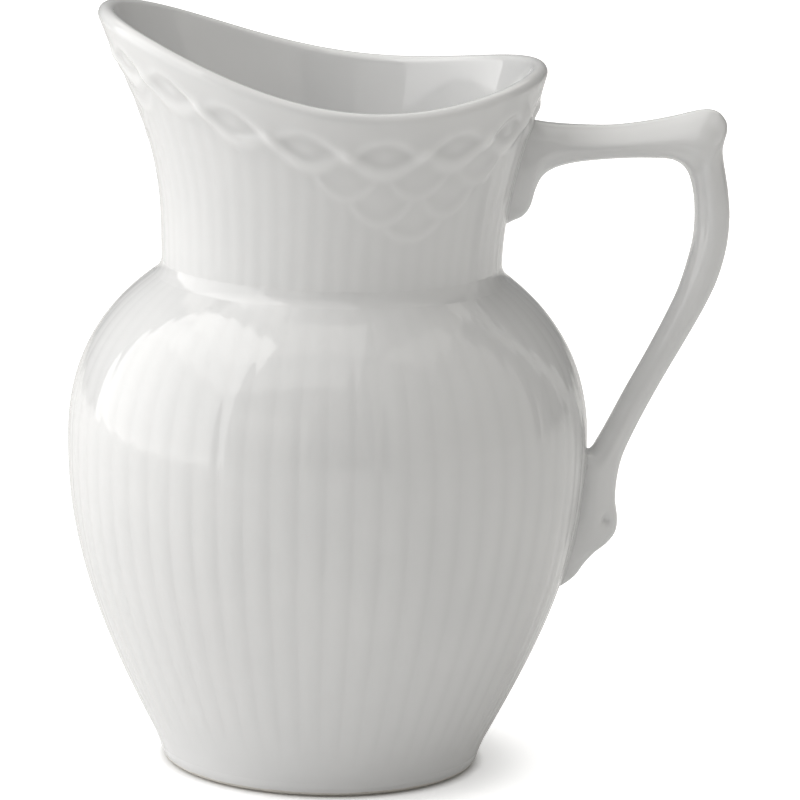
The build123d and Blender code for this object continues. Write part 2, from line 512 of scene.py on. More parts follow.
# The floor rises a little to its middle
FLOOR_CENTRE = FLOOR_TOP + 0.06
FLOOR_HALFWAY = FLOOR_TOP + 0.05
# Underside within the foot ring, as radius and height, domed up to its middle
UNDERSIDE = ((2.0, 3.1), (12.0, 3.0), (19.0, 2.85), (RING_INNER_RADIUS - 0.4, RING_TOP))
DOME_TOP = 3.12


def hollow_outline():
    """Radii and heights of the hollow, from the seam down to halfway across the floor."""
    inside_r = PROFILE_R - WALL * np.gradient(PROFILE_Z, ARC)
    inside_z = PROFILE_Z + WALL * np.gradient(PROFILE_R, ARC)
    keep = (inside_z > FLOOR_TOP + CORNER_RISE) & (inside_r > THROAT) & (PROFILE_Z > KINK[1])
    inside_r, inside_z = inside_r[keep], inside_z[keep]
    inner = [(THROAT, NECK_BASE), (THROAT + MOUTH_STEP[0], NECK_BASE - MOUTH_STEP[1])]
    for share in np.linspace(1, 0, INSIDE_ROWS):
        k = int(share * (len(inside_r) - 1))
        inner.append((inside_r[k], inside_z[k]))
    corner_r, corner_z = inner[-1]
    for a in np.radians(np.linspace(0, 90, CORNER_ROWS)[1:]):
        inner.append((corner_r - CORNER_REACH * (1 - math.cos(a)) - CORNER_DRAW * math.sin(a) ** 2,
                      corner_z - (corner_z - FLOOR_TOP) * math.sin(a)))
    inner.append((inner[-1][0] * 0.5, FLOOR_HALFWAY))
    return inner


def build_belly():
    """Belly with its flutes, the steep foot wall, the hollow and the glazed underside."""
    t = ANGLES
    turn = turn_of(t)
    rows = []
    pools_and_shade = []
    for z in np.concatenate([FOOT_WALL_Z, arc_rows(BELLY_EVEN_START, NECK_BASE, BELLY_ROWS)]):
        zz = np.full_like(t, z)
        # Painted shade in the flutes' valleys and painted light on their ribs, partly also real pooling of the glaze
        pools_and_shade.append(FLUTE_MEAN * np.interp(z, BELLY_FLUTE_Z, BELLY_FLUTE) - belly_relief(turn, zz))
        lift = belly_relief(turn, zz) + waver(turn, zz) * smooth(*WAVER_FOOT, zz) * smooth(*WAVER_NECK, zz)
        rows.append(displaced(belly_point, t, zz, lift - SUNK * (z < RING_TOP)))
    rows += [level_ring(t, r, z) for r, z in hollow_outline()]
    top_count = len(rows)
    rows += [level_ring(t, r, z) for r, z in UNDERSIDE]
    points = np.concatenate(rows)
    centre = len(points)
    points = np.concatenate([points, [[0, 0, FLOOR_CENTRE], [0, 0, DOME_TOP]]])
    well = (top_count - 1) * COLUMNS
    dome = top_count * COLUMNS
    last = (len(rows) - 1) * COLUMNS
    faces = grid_faces(top_count, COLUMNS)
    faces += [tuple(i + dome for i in f) for f in grid_faces(len(UNDERSIDE), COLUMNS)]
    faces += [(last + c, last + (c + 1) % COLUMNS, (c + 1) % COLUMNS, c) for c in range(COLUMNS)]
    faces += [(well + c, well + (c + 1) % COLUMNS, centre) for c in range(COLUMNS)]
    faces += [(dome + (c + 1) % COLUMNS, dome + c, centre + 1) for c in range(COLUMNS)]
    piece = make_mesh("belly_fluted", points, faces)
    paint_pool_and_shade(piece, np.concatenate(pools_and_shade))
    return piece


# Slip at the neck: how far it climbs the neck, how far down the shoulder it runs, how much its corner stands out,
# and its fillet's rows
SEAM_CLIMB = 2.0
SEAM_RUN = 2.2
SEAM_CORNER = 0.10
SEAM_ROWS = 13
# Its part within the wall and its smooth inside, as radius and height
SEAM_INSIDE = ((28.6, SEAM_TOP + 0.4), (26.5, SEAM_TOP + 0.2), (26.32, NECK_BASE + 0.25), (26.5, NECK_BASE - 0.3),
               (28.6, NECK_BASE - 0.5))


def hollow_fillet(low, corner, high, rows):
    """Rows of points from low to high, curved in towards a corner."""
    return [(1 - s) ** 2 * low + 2 * s * (1 - s) * corner + s**2 * high for s in np.linspace(0, 1, rows)]


def build_seam():
    """Slip between the belly and the neck, wiped to a small hollow fillet outside and smooth inside."""
    t = ANGLES
    high = neck_wall(t, np.full_like(t, NECK_BASE + SEAM_CLIMB)) - SUNK * level_ring(t, 1.0, 0.0)
    low_z = np.full_like(t, np.interp(np.interp(NECK_BASE, PROFILE_Z, ARC) - SEAM_RUN, ARC, PROFILE_Z))
    low = displaced(belly_point, t, low_z, belly_relief(turn_of(t), low_z) - SUNK)
    corner = level_ring(t, SIDE_RADII[0] + SEAM_CORNER, NECK_BASE)
    rows = hollow_fillet(low, corner, high, SEAM_ROWS)
    rows += [level_ring(t, r, z) for r, z in SEAM_INSIDE]
    return make_mesh("neck_slip_fillet", np.concatenate(rows), grid_faces(len(rows), COLUMNS, wrap_rows=True))


# Foot ring: columns, and its section as radius and height. It runs down its outside, round the outer corner, over
# the step at the glaze's edge to the bare tread, and up its rounded inner corner. Its outside follows the foot wall,
# so RING_OUTSIDE holds heights and how far the ring is sunk there.
RING_COLUMNS = 360
RING_OUTSIDE = ((RING_TOP + 0.4, SUNK), (RING_TOP, 0.0), (1.95, 0.0), (1.3, 0.0))
RING_CORNER = (BEARING_RADIUS - 0.5, 0.85)
RING_CORNER_SIZE = (0.6, 0.5)
RING_CORNER_ANGLES = np.radians(np.linspace(0, 90, 7))
RING_TREAD = ((26.55, 0.30), (26.42, 0.18), (26.38, 0.05), (26.25, 0.0))
RING_INNER_CORNER = RING_INNER_RADIUS + 1.2
RING_INNER_ROUND = 0.9
RING_INNER_ANGLES = np.radians(np.linspace(0, 80, 6))
RING_INSIDE = ((RING_INNER_RADIUS + 0.12, 1.6), (RING_INNER_RADIUS - 0.15, RING_TOP + 0.1), (25.2, RING_TOP + 0.42))


def build_foot():
    """Foot ring: a rounded tread under the foot wall."""
    t = np.arange(RING_COLUMNS) * 2 * math.pi / RING_COLUMNS
    section = [(belly_radius(z) - sunk, z) for z, sunk in RING_OUTSIDE]
    for a in RING_CORNER_ANGLES:
        section.append((RING_CORNER[0] + RING_CORNER_SIZE[0] * math.cos(a),
                        RING_CORNER[1] - RING_CORNER_SIZE[1] * math.sin(a)))
    section += RING_TREAD
    for a in RING_INNER_ANGLES:
        section.append((RING_INNER_CORNER - RING_INNER_ROUND * math.sin(a),
                        RING_INNER_ROUND - RING_INNER_ROUND * math.cos(a)))
    section += RING_INSIDE
    rows = [level_ring(t, r, z) for r, z in section]
    return make_mesh("foot_ring_tread", np.concatenate(rows),
                     grid_faces(len(rows), RING_COLUMNS, wrap_rows=True))


# ---------------------------------------------------------------- handle
# Stations from the neck to the tail: inner point, outer point (x, z), half width
STATIONS = (
    ((27.0, 95.5), (27.0, 114.6), 3.6),
    ((29.4, 95.6), (29.6, 114.5), 4.3),
    ((31.2, 96.4), (31.4, 114.3), 4.6),
    ((32.7, 97.2), (33.0, 114.1), 4.7),
    ((33.9, 98.9), (34.6, 113.9), 4.7),
    ((34.7, 101.9), (36.0, 113.7), 4.6),
    ((35.8, 104.2), (37.6, 113.55), 4.5),
    ((37.9, 105.8), (39.4, 113.45), 4.4),
    ((41.5, 106.9), (42.2, 113.4), 4.3),
    ((46.5, 107.6), (47.0, 113.45), 4.2),
    ((51.5, 107.95), (51.6, 114.0), 4.15),
    ((55.2, 108.0), (55.6, 114.75), 4.2),
    ((57.6, 107.9), (58.8, 115.5), 4.35),
    ((59.0, 107.4), (61.6, 116.25), 4.5),
    ((59.9, 106.8), (64.0, 116.6), 4.65),
    ((60.5, 106.1), (65.8, 116.1), 4.7),
    ((61.0, 105.3), (67.05, 114.7), 4.65),
    ((61.3, 104.5), (67.35, 113.2), 4.55),
    ((61.6, 103.5), (66.95, 111.4), 4.35),
    ((61.85, 102.4), (66.7, 109.7), 4.15),
    ((62.1, 100.9), (66.95, 107.6), 4.0),
    ((62.25, 99.2), (67.5, 104.8), 3.95),
    ((62.3, 97.2), (68.0, 101.8), 3.95),
    ((62.15, 94.2), (68.35, 97.7), 3.95),
    ((61.4, 90.3), (68.0, 92.6), 3.95),
    ((59.9, 85.0), (66.7, 87.2), 3.9),
    ((57.7, 79.8), (64.7, 82.4), 3.85),
    ((54.6, 73.4), (61.6, 76.4), 3.8),
    ((51.3, 67.0), (58.1, 69.9), 3.8),
    ((48.7, 61.7), (55.2, 64.2), 3.85),
    ((46.85, 58.1), (53.0, 59.5), 3.95),
    ((45.5, 56.1), (51.3, 55.2), 4.1),
    ((43.0, 55.2), (50.55, 51.2), 4.2),
    ((41.8, 45.5), (50.4, 47.6), 4.25),
    ((40.8, 42.8), (50.85, 44.2), 4.2),
    ((39.8, 40.4), (50.6, 41.8), 4.05),
    ((38.8, 38.4), (49.2, 39.8), 3.85),
    ((37.8, 36.6), (47.2, 38.1), 3.55),
    ((36.8, 34.9), (45.4, 36.0), 3.2),
    ((35.8, 33.2), (43.9, 33.8), 2.8),
    ((34.8, 31.6), (41.6, 31.9), 2.3),
    ((33.8, 30.2), (38.6, 30.4), 1.7),
)
HANDLE_ROWS = 230
HANDLE_AROUND = 96
# Roundness of the sections, and how much squarer they get along these stations
HANDLE_ROUNDNESS = (2.05, 0.35)
SQUARER_FROM = (14.0, 20.0)
# The sides of the top bar lean inward towards the top by this share
BAR_LEAN = 0.42
# Stretches of stations over which the bar, the arm and the lean rise and fade again
BAR_STRETCH = (3.0, 7.0, 21.0, 27.0)
ARM_STRETCH = (16.0, 22.0, 33.0, 37.0)
LEAN_STRETCH = (6.0, 9.0, 14.5, 17.5)
# Lengthwise forms on the sides: place between the inner (-1) and outer (1) edge and size; share of the half width
SIDE_RIDGE = (0.05, 0.30)
SIDE_GROOVE = (-0.52, 0.20)
ARM_RIDGE_SHARE = 0.05
BAR_RIDGE_SHARE = 0.03
BAR_GROOVE_SHARE = 0.08
# Within the wall, the handle's ends are drawn up to this depth
HANDLE_BED = 1.5
# Local hollows on both sides: x, distance from the middle plane, z, radius and depth
HANDLE_HOLLOWS = ((66.0, 4.4, 112.6, 1.3, -0.45), (49.25, 3.9, 44.4, 1.15, -1.5))


def catmull(values, count):
    """Smooth curve through values, evenly in steps of the index."""
    values = np.asarray(values, float)
    padded = np.concatenate([[2 * values[0] - values[1]], values, [2 * values[-1] - values[-2]]])
    where = np.linspace(0, len(values) - 1 - 1e-9, count)
    i = where.astype(int)
    s = (where - i)[:, None] if values.ndim > 1 else where - i
    p0, p1, p2, p3 = padded[i], padded[i + 1], padded[i + 2], padded[i + 3]
    return 0.5 * (2 * p1 + (p2 - p0) * s + (2 * p0 - 5 * p1 + 4 * p2 - p3) * s**2
                  + (3 * p1 - p0 - 3 * p2 + p3) * s**3)


def bump_at(points, centre, size, amount):
    """Soft local swelling over points, or a hollow if amount is negative."""
    away = ((points - np.array(centre)) ** 2).sum(-1) / size**2
    return amount * np.exp(-away)


def along(stretch, place):
    """A column that is 1 along a stretch of stations and 0 beyond it."""
    start, full, fading, end = stretch
    return (smooth(start, full, place) * smooth(end, fading, place))[:, None]


def handle_grid():
    """Points of the handle, one row for each cross-section."""
    inner = catmull([s[0] for s in STATIONS], HANDLE_ROWS)
    outer = catmull([s[1] for s in STATIONS], HANDLE_ROWS)
    half = catmull([s[2] for s in STATIONS], HANDLE_ROWS)
    place = np.linspace(0, len(STATIONS) - 1, HANDLE_ROWS)
    middle = (inner + outer) / 2
    reach = (outer - inner) / 2
    angle = np.arange(HANDLE_AROUND) * 2 * math.pi / HANDLE_AROUND
    power = 2 / (HANDLE_ROUNDNESS[0] + HANDLE_ROUNDNESS[1] * smooth(*SQUARER_FROM, place))[:, None]
    p = np.sign(np.cos(angle)) * np.abs(np.cos(angle)) ** power
    q = np.sign(np.sin(angle)) * np.abs(np.sin(angle)) ** power
    bar, arm, leaning = along(BAR_STRETCH, place), along(ARM_STRETCH, place), along(LEAN_STRETCH, place)
    ridge = np.exp(-((p - SIDE_RIDGE[0]) / SIDE_RIDGE[1]) ** 2)
    groove = np.exp(-((p - SIDE_GROOVE[0]) / SIDE_GROOVE[1]) ** 2)
    form = (ARM_RIDGE_SHARE * arm + BAR_RIDGE_SHARE * bar) * ridge - BAR_GROOVE_SHARE * bar * groove
    width = half[:, None] * q * (1 - BAR_LEAN * p * leaning) * (1 + np.abs(q) ** 0.5 * form)
    points = np.zeros((HANDLE_ROWS, HANDLE_AROUND, 3))
    points[..., 0] = middle[:, None, 0] + reach[:, None, 0] * p
    points[..., 2] = middle[:, None, 1] + reach[:, None, 1] * p
    points[..., 1] = -width
    # Both ends are drawn up short so that they stay bedded within the wall
    gap = wall_gap(points)
    bedded = -HANDLE_BED * (1 - np.exp(np.minimum(gap, 0.0) / HANDLE_BED))
    points[..., 0] += np.where(gap < 0, bedded - gap, 0.0)
    return points


def grid_normals(points):
    """Unit normals of a grid that closes along its columns."""
    along = np.gradient(points, axis=0)
    around = np.roll(points, -1, axis=1) - np.roll(points, 1, axis=1)
    normal = np.cross(along, around)
    normal /= np.linalg.norm(normal, axis=-1, keepdims=True) + 1e-12
    centre = points.mean(axis=1, keepdims=True)
    return normal * np.sign(((points - centre) * normal).sum(-1, keepdims=True).mean())


def build_handle():
    """Handle with its thumb knob, arm, spur and tail, both ends bedded in the wall, and the grid of its points."""
    points = handle_grid()
    normals = grid_normals(points)
    lift = sum(bump_at(points, (x, side * y, z), size, amount)
               for x, y, z, size, amount in HANDLE_HOLLOWS for side in (-1, 1))
    points = points + normals * lift[..., None]
    flat = points.reshape(-1, 3)
    faces = grid_faces(HANDLE_ROWS, HANDLE_AROUND)
    first, last = len(flat), len(flat) + 1
    ends = np.array([points[0].mean(0), points[-1].mean(0)])
    tail = (HANDLE_ROWS - 1) * HANDLE_AROUND
    for c in range(HANDLE_AROUND):
        d = (c + 1) % HANDLE_AROUND
        faces.append((d, c, first))
        faces.append((tail + c, tail + d, last))
    return make_mesh("handle_scrolled", np.concatenate([flat, ends]), faces), points


# ---------------------------------------------------------------- slip joints of the handle
# Points round a joint, rows of its fillet, and how often its line and its direction are smoothed
JOINT_COUNT = 260
JOINT_ROWS = 10
JOINT_SMOOTHING = (4, 6)
# How deep a joint's foot is sunk, how far its edges run on out of sight and how deep, and the depth of its back
JOINT_FOOT_SUNK = 0.02
JOINT_RUN_ON = 0.3
JOINT_EDGE_SUNK = 0.25
JOINT_BACK = 0.6
# The web in the joint's top corner grows over this height
WEB_HEIGHT = 3.5
# How deep the glaze lies pooled on the joints; it also darkens them as painted shade round the handle's ends
JOINT_POOL_AND_SHADE = 0.3


def oval_place(points):
    """Oval angle of points on the neck, and the oval's centre and axes there."""
    centre, a, b = neck_axes(points[..., 2])
    return np.arctan2(points[..., 1] / b, (points[..., 0] - centre) / a), centre, a, b


def wall_gap(points):
    """How far points are outside the smooth wall, level."""
    x, y, z = points[..., 0], points[..., 1], points[..., 2]
    t, centre, a, b = oval_place(points)
    neck = np.hypot(x - centre, y) - np.hypot(a * np.cos(t), b * np.sin(t))
    belly = np.hypot(x, y) - belly_radius(z)
    return np.where(z > NECK_BASE, neck, belly)


def on_wall(points, lift=0.0):
    """Points brought level onto the relief of the wall."""
    z = points[..., 2]
    neck = neck_wall(oval_place(points)[0], z)
    t = np.arctan2(points[..., 1], points[..., 0])
    belly = displaced(belly_point, t, z, belly_relief(turn_of(t), z) + waver(turn_of(t), z))
    found = np.where((z > NECK_BASE)[..., None], neck, belly)
    level = found * np.array([1, 1, 0])
    level /= np.linalg.norm(level, axis=-1, keepdims=True)
    return found + lift * level


def wall_normal(points):
    """Outward normals of the smooth wall."""
    steps = HEIGHT_STEP * np.eye(3)
    normal = np.stack([wall_gap(points + step) - wall_gap(points - step) for step in steps], -1)
    return normal / np.linalg.norm(normal, axis=-1, keepdims=True)


def unit(vectors):
    """Vectors brought to length 1."""
    return vectors / np.linalg.norm(vectors, axis=1, keepdims=True)


def smooth_ring(values, passes):
    """Values round a closed line, each evened out with its neighbours."""
    for _ in range(passes):
        values = 0.5 * values + 0.25 * (np.roll(values, 1, 0) + np.roll(values, -1, 0))
    return values


def joint_line(points, from_start):
    """Closed line where the handle's surface enters the wall, one crossing on each lengthwise line."""
    gap = wall_gap(points)
    crossings, directions = [], []
    for c in range(HANDLE_AROUND):
        g = gap[:, c]
        if from_start:
            r = int(np.argmax(g > 0))
            inside, outside = r - 1, r
        else:
            r = len(g) - 1 - int(np.argmax(g[::-1] > 0))
            inside, outside = r + 1, r
        s = g[inside] / (g[inside] - g[outside])
        crossings.append(points[inside, c] + s * (points[outside, c] - points[inside, c]))
        directions.append(points[outside, c] - points[inside, c])
    return np.array(crossings), np.array(directions)


def spaced_evenly(values, length):
    """Values round a closed line of the given lengths, taken again at even steps."""
    at = np.linspace(0, length[-1], JOINT_COUNT, endpoint=False)
    closed = np.vstack([values, values[:1]])
    return np.stack([np.interp(at, length, closed[:, k]) for k in range(3)], -1)


def build_joint(name, points, from_start, reach, web):
    """Slip squeezed out round the end of the handle and wiped to a hollow fillet, web wider in its top corner."""
    line, away = joint_line(points, from_start)
    step = np.linalg.norm(np.roll(line, -1, 0) - line, axis=1)
    length = np.concatenate([[0], np.cumsum(step)])
    away = smooth_ring(unit(spaced_evenly(away, length)), JOINT_SMOOTHING[1])
    line = smooth_ring(spaced_evenly(line, length), JOINT_SMOOTHING[0])
    tangent = unit(np.roll(line, -1, 0) - np.roll(line, 1, 0))
    normal = wall_normal(line)
    spread = unit(np.cross(normal, tangent))
    spread *= np.sign(((line - line.mean(0)) * spread).sum(1).mean())
    climb = unit(away - tangent * (away * tangent).sum(1, keepdims=True))
    top = line[:, 2].max()
    reach = reach + web * smooth(top - WEB_HEIGHT, top, line[:, 2])[:, None]
    foot = on_wall(line + reach * spread, -JOINT_FOOT_SUNK)
    head = line + reach * climb - SUNK * spread
    # Both edges run on a little within the wall and the handle, and the back of the slip is hidden there too
    rows = [on_wall(line + (reach + JOINT_RUN_ON) * spread, -JOINT_EDGE_SUNK)]
    rows += hollow_fillet(foot, on_wall(line), head, JOINT_ROWS)
    rows.append(line + (reach + JOINT_RUN_ON) * climb - JOINT_RUN_ON * spread)
    rows.append(line - JOINT_EDGE_SUNK * normal - JOINT_EDGE_SUNK * spread + JOINT_RUN_ON * climb)
    rows.append(line - JOINT_BACK * normal)
    points = np.concatenate(rows)
    piece = make_mesh(name, points, grid_faces(len(rows), JOINT_COUNT, wrap_rows=True))
    # Joints greyed all over, as pooled glaze and as painted shade
    paint_pool_and_shade(piece, np.full(len(points), JOINT_POOL_AND_SHADE))
    return piece


# ---------------------------------------------------------------- materials
def feed(tree, node, inputs):
    """Sets a node's inputs, each to a constant or to the output that feeds it."""
    for name, value in inputs.items():
        if isinstance(value, bpy.types.NodeSocket):
            tree.links.new(value, node.inputs[name])
        else:
            node.inputs[name].default_value = value


def add(tree, kind, output, inputs, **settings):
    """Adds a node and gives one of its outputs."""
    node = tree.nodes.new(kind)
    for name, value in settings.items():
        setattr(node, name, value)
    feed(tree, node, inputs)
    return node.outputs[output]


def new_material(name):
    """Material with a principled shader, its node tree, and the place on the object."""
    material = bpy.data.materials.new(name)
    material.use_nodes = True
    tree = material.node_tree
    tree.nodes.clear()
    output = tree.nodes.new("ShaderNodeOutputMaterial")
    shader = tree.nodes.new("ShaderNodeBsdfPrincipled")
    tree.links.new(shader.outputs["BSDF"], output.inputs["Surface"])
    return material, tree, shader, add(tree, "ShaderNodeTexCoord", "Object", {})


def noise(tree, vector, scale, detail=2.0, rough=0.5):
    """Soft noise from 0 to 1."""
    inputs = {"Vector": vector, "Scale": scale, "Detail": detail, "Roughness": rough}
    return add(tree, "ShaderNodeTexNoise", "Fac", inputs)


def ramp(tree, value, low, high):
    """Colour ramp between two stops, each a position and a colour."""
    node = tree.nodes.new("ShaderNodeValToRGB")
    for element, stop in zip(node.color_ramp.elements, (low, high)):
        element.position, element.color = stop
    tree.links.new(value, node.inputs["Fac"])
    return node.outputs["Color"]


def math_node(tree, operation, *values):
    """Result of a sum on values or outputs."""
    return add(tree, "ShaderNodeMath", "Value", dict(enumerate(values)), operation=operation)


def map_range(tree, value, span, target=(0.0, 1.0), interpolation="LINEAR"):
    """A value brought from one span to another, and kept within it."""
    inputs = {"Value": value, "From Min": span[0], "From Max": span[1], "To Min": target[0], "To Max": target[1]}
    return add(tree, "ShaderNodeMapRange", "Result", inputs, interpolation_type=interpolation)


def mix_colour(tree, factor, first, second, blend="MIX"):
    """Two colours blended."""
    inputs = {"Factor": factor, "A": first, "B": second}
    return add(tree, "ShaderNodeMix", "Result", inputs, data_type="RGBA", blend_type=blend)


def bump(tree, height, strength, distance):
    """Normal of a finely uneven surface."""
    return add(tree, "ShaderNodeBump", "Normal", {"Height": height, "Strength": strength, "Distance": distance})


def grey(value, cool=0.0):
    """Grey, bluer by the share cool."""
    return (value * (1 - cool), value, value * (1 + cool), 1.0)


# Noise scales are waves in a metre, the other lengths metres
CLOUD_SCALE = 45.0
CLOUD_DETAIL = 3.0
CLOUD_STOPS = (0.3, grey(0.80, 0.006)), (0.7, grey(0.835, 0.004))
PINHOLE_SCALE = 55.0
PINHOLE_STOPS = (0.008, grey(1.0)), (0.02, grey(0.0))
PINHOLE_SHARE = 0.05
PINHOLE_COLOUR = (0.22, 0.20, 0.18, 1)
# Pooled glaze looks greyer; the same greying is painted shade in recesses and at joints, and its opposite is painted
# # light on raised parts: share of the body's colour lost at this depth in millimetres
POOL_AND_SHADE_SPAN = 0.25
POOL_AND_PAINTED_SHADE = 0.12
GLOSS_SCALE = 120.0
GLOSS_STOPS = (0.3, grey(0.055)), (0.75, grey(0.095))
GLAZE_SHADER = {"IOR": 1.52, "Coat Weight": 0.35, "Coat Roughness": 0.03}
RIPPLE_SCALE = 260.0
RIPPLE_ROUGH = 0.4
RIPPLE_BUMP = (0.06, 0.0006)
# Bare clay, and the wavering height of the glaze's edge on the foot ring
GRAIN_SCALE = 900.0
GRAIN_DETAIL = 4.0
GRAIN_ROUGH = 0.6
GRAIN_BUMP = (0.25, 0.0001)
BARE_STOPS = (0.25, (0.60, 0.57, 0.52, 1)), (0.8, (0.74, 0.72, 0.68, 1))
EDGE_SCALE = 160.0
EDGE_WAVER = 0.0004
EDGE_SPAN = (0.00095, 0.00115)
BARE_TO_GLAZED_ROUGHNESS = (0.85, 0.08)


def cloudy_body(tree, place):
    """Slightly uneven white of the porcelain under its glaze."""
    return ramp(tree, noise(tree, place, CLOUD_SCALE, CLOUD_DETAIL), *CLOUD_STOPS)


def glaze_material():
    """Clear glossy glaze over white porcelain: slightly cloudy body, rippled surface, a few pinholes, greyer where
    the glaze pools, partly as painted shade, and lighter on raised parts as painted light.
    """
    material, tree, shader, place = new_material("white_glaze")
    cells = tree.nodes.new("ShaderNodeTexVoronoi")
    feed(tree, cells, {"Scale": PINHOLE_SCALE, "Vector": place})
    pit = ramp(tree, cells.outputs["Distance"], *PINHOLE_STOPS)
    pick = add(tree, "ShaderNodeSeparateColor", "Red", {"Color": cells.outputs["Color"]})
    speck = math_node(tree, "MULTIPLY", pit, math_node(tree, "LESS_THAN", pick, PINHOLE_SHARE))
    body = mix_colour(tree, speck, cloudy_body(tree, place), PINHOLE_COLOUR)
    # Greyer where the glaze pools: partly real, partly painted shade in recesses and at joints; lighter on raised
    # parts as painted light
    pool_and_shade = add(tree, "ShaderNodeAttribute", "Fac", {}, attribute_name="glaze_pool_and_shade")
    depth = map_range(tree, pool_and_shade, (-POOL_AND_SHADE_SPAN, POOL_AND_SHADE_SPAN), (1 + POOL_AND_PAINTED_SHADE, 1 - POOL_AND_PAINTED_SHADE))
    ripple = noise(tree, place, RIPPLE_SCALE, rough=RIPPLE_ROUGH)
    feed(tree, shader, {
        "Base Color": mix_colour(tree, 1.0, body, depth, "MULTIPLY"),
        "Roughness": ramp(tree, noise(tree, place, GLOSS_SCALE), *GLOSS_STOPS),
        "Normal": bump(tree, ripple, *RIPPLE_BUMP),
        **GLAZE_SHADER,
    })
    return material


def biscuit_material():
    """Bare fired clay on the tread, below a slightly uneven glaze line."""
    material, tree, shader, place = new_material("biscuit")
    grain = noise(tree, place, GRAIN_SCALE, GRAIN_DETAIL, GRAIN_ROUGH)
    height = add(tree, "ShaderNodeSeparateXYZ", "Z", {"Vector": place})
    edge = math_node(tree, "MULTIPLY_ADD", noise(tree, place, EDGE_SCALE), EDGE_WAVER, height)
    glazed = map_range(tree, edge, EDGE_SPAN)
    feed(tree, shader, {
        "Base Color": mix_colour(tree, glazed, ramp(tree, grain, *BARE_STOPS), cloudy_body(tree, place)),
        "Roughness": map_range(tree, glazed, (0.0, 1.0), BARE_TO_GLAZED_ROUGHNESS),
        "Normal": bump(tree, grain, *GRAIN_BUMP),
    })
    return material


# ---------------------------------------------------------------- the pitcher
glaze = glaze_material()
biscuit = biscuit_material()


def place_piece(piece, node, material):
    """Gives a piece its material and its body, and hides the CAD node it replaces."""
    piece.data.materials.append(material)
    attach(piece, "root")
    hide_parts(node)


place_piece(build_belly(), "belly", glaze)
place_piece(build_neck(), "neck_and_spout", glaze)
place_piece(build_seam(), "neck_slip_joint", glaze)
place_piece(build_foot(), "foot_ring", biscuit)
handle, handle_points = build_handle()
place_piece(handle, "handle", glaze)
place_piece(build_joint("upper_handle_slip_fillet", handle_points, from_start=True, reach=0.45, web=0.3),
            "upper_handle_slip_joint", glaze)
place_piece(build_joint("lower_handle_slip_fillet", handle_points, from_start=False, reach=0.6, web=0.0),
            "lower_handle_slip_joint", glaze)


# ---------------------------------------------------------------- stage
# Floor, in metres: half its side, its tones, and how brightly it glows for the camera away from the foot, and near
# # it. The weaker glow near the foot is a painted shadow: it grows over PAINTED_SHADOW_SPAN from the axis, and
# starts within
# # PAINTED_CONTACT_SHADOW_SPAN so that a painted contact shadow is dark.
FLOOR_HALF = 2.5
FLOOR_SCALE = 6.0
FLOOR_STOPS = (0.3, grey(0.88)), (0.7, grey(0.90))
FLOOR_SHADER = {"Roughness": 0.9, "Specular IOR Level": 0.1, "Emission Color": (1, 1, 1, 1)}
FLOOR_GLOW = 0.68
PAINTED_SHADOW_GLOW = 0.36
PAINTED_SHADOW_SPAN = (0.027, 0.041)
PAINTED_CONTACT_SHADOW_SPAN = (0.0268, 0.0290)

# World: its brightness in front and behind, towards BACK, blended over a span of the cosine; the camera sees white
SURROUND = 0.07
BACK_SURROUND = 0.30
BACK = (-0.6, 0.8, 0.0)
BACK_SPAN = (0.3, 0.8)
SEEN_STRENGTH = 1.05

# Upright softboxes, in metres: facing, distance, left, right, low, high, radiance, colour
KEY_COLOUR = (1.0, 0.992, 0.975)
FILL_COLOUR = (1.0, 0.978, 0.925)
PANELS = {
    "key_low": (-62, 0.55, -0.95, 0.147, -0.02, 0.36, 1.55, KEY_COLOUR),
    "key_middle": (-62, 0.55, -0.95, 0.147, 0.36, 0.66, 1.52, KEY_COLOUR),
    "key_high": (-62, 0.55, -0.95, 0.147, 0.66, 1.43, 1.68, KEY_COLOUR),
    "fill_right": (66, 0.7, -0.63, 0.567, 0.0, 1.5, 0.44, FILL_COLOUR),
    "fill_front_left": (-30, 0.9, -0.27, 0.29, 0.0, 0.5, 0.38, FILL_COLOUR),
    "fill_front": (-10, 1.3, -0.9, 0.6, 0.4, 2.2, 0.125, FILL_COLOUR),
}
# Level softboxes facing down: place, width, depth, radiance, colour
OVERHEADS = {
    "top": ((0.0, 0.5, 1.3), 2.0, 2.0, 0.41, FILL_COLOUR),
    "top_left": ((-0.6, -0.35, 1.2), 1.7, 1.5, 0.68, KEY_COLOUR),
    "floor_wash": ((0.0, 0.9, 1.0), 1.6, 0.9, 0.45, FILL_COLOUR),
}

# Camera fitted to the photo: degrees, millimetres, and pixels in the photo's width of 800
CAMERA_ELEVATION = 12.4
CAMERA_ROLL = 1.45
CAMERA_DISTANCE = 990.2
AIM_HEIGHT = 60.0
FOCAL_PIXELS = 5699.1
FRAME_PIXELS = 800.0
AIM_PIXELS = (327.9, 421.4)
SENSOR_WIDTH = 36.0
CAMERA_CLIP = (0.05, 20.0)


